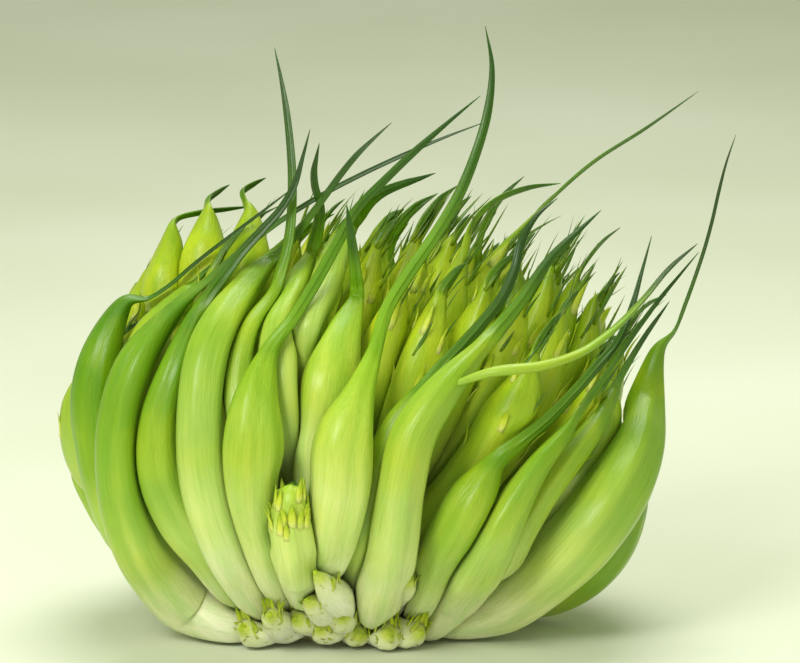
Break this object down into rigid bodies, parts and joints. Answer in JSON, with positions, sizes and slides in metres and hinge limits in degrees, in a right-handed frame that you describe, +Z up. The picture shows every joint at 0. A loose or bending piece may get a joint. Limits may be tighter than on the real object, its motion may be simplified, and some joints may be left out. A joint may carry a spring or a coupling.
{
  "type": "head of puntarelle",
  "caption": "Compact head of puntarelle: swollen hollow shoots packed round a cut crown with basal buds, their necks running out into narrow leaves blown to one side.",
  "frame": {"origin": "middle of the crown's flat cut face, which the head stands on", "axes": "+Z up, away from the cut face; -Y toward the pictured front; +X toward the side the leaves are blown to, along the head's longest extent"},
  "size_m": [0.2185, 0.1561, 0.2007],
  "materials": {
    "crown_flesh": "moist cream plant flesh, smooth and slightly translucent",
    "front_flesh": "smooth waxy shoot skin, cream at the foot and lime green above, with dark green leaves",
    "upper_flesh": "smooth waxy shoot skin, yellow green",
    "rear_flesh": "smooth waxy shoot skin, cream at the foot and green above"
  },
  "bodies": {
    "root": {"crown": "crown_flesh", "shoot_front_back_left": "front_flesh", "shoot_front_finger": "front_flesh", "shoot_front_pale": "front_flesh", "shoot_front_slim": "front_flesh", "shoot_front_stub": "front_flesh", "shoot_front_tall": "front_flesh", "shoot_left_arched": "front_flesh", "shoot_left_hollow": "front_flesh", "shoot_left_inner": "front_flesh", "shoot_left_long": "front_flesh", "shoot_left_low": "front_flesh", "shoot_left_rim": "front_flesh", "shoot_left_thin": "front_flesh", "shoot_rear_01": "rear_flesh", "shoot_rear_02": "rear_flesh", "shoot_rear_03": "rear_flesh", "shoot_rear_04": "rear_flesh", "shoot_rear_05": "rear_flesh", "shoot_rear_06": "rear_flesh", "shoot_rear_07": "rear_flesh", "shoot_rear_08": "rear_flesh", "shoot_rear_09": "rear_flesh", "shoot_rear_10": "rear_flesh", "shoot_rear_11": "rear_flesh", "shoot_rear_12": "rear_flesh", "shoot_rear_13": "rear_flesh", "shoot_rear_14": "rear_flesh", "shoot_rear_15": "rear_flesh", "shoot_rear_16": "rear_flesh", "shoot_rear_17": "rear_flesh", "shoot_right_arched": "front_flesh", "shoot_right_broad": "front_flesh", "shoot_right_long": "front_flesh", "shoot_right_low": "front_flesh", "shoot_right_rim": "front_flesh", "shoot_right_spear": "front_flesh", "shoot_right_thin": "front_flesh", "shoot_upper_01": "upper_flesh", "shoot_upper_02": "upper_flesh", "shoot_upper_03": "upper_flesh", "shoot_upper_04": "upper_flesh", "shoot_upper_05": "upper_flesh", "shoot_upper_06": "upper_flesh", "shoot_upper_07": "upper_flesh", "shoot_upper_08": "upper_flesh", "shoot_upper_09": "upper_flesh", "shoot_upper_10": "upper_flesh", "shoot_upper_11": "upper_flesh", "shoot_upper_12": "upper_flesh", "shoot_upper_13": "upper_flesh", "shoot_upper_14": "upper_flesh", "shoot_upper_15": "upper_flesh", "shoot_upper_16": "upper_flesh", "shoot_upper_17": "upper_flesh", "shoot_upper_18": "upper_flesh", "shoot_upper_19": "upper_flesh", "shoot_upper_20": "upper_flesh", "shoot_upper_21": "upper_flesh"}
  },
  "joints": []
}
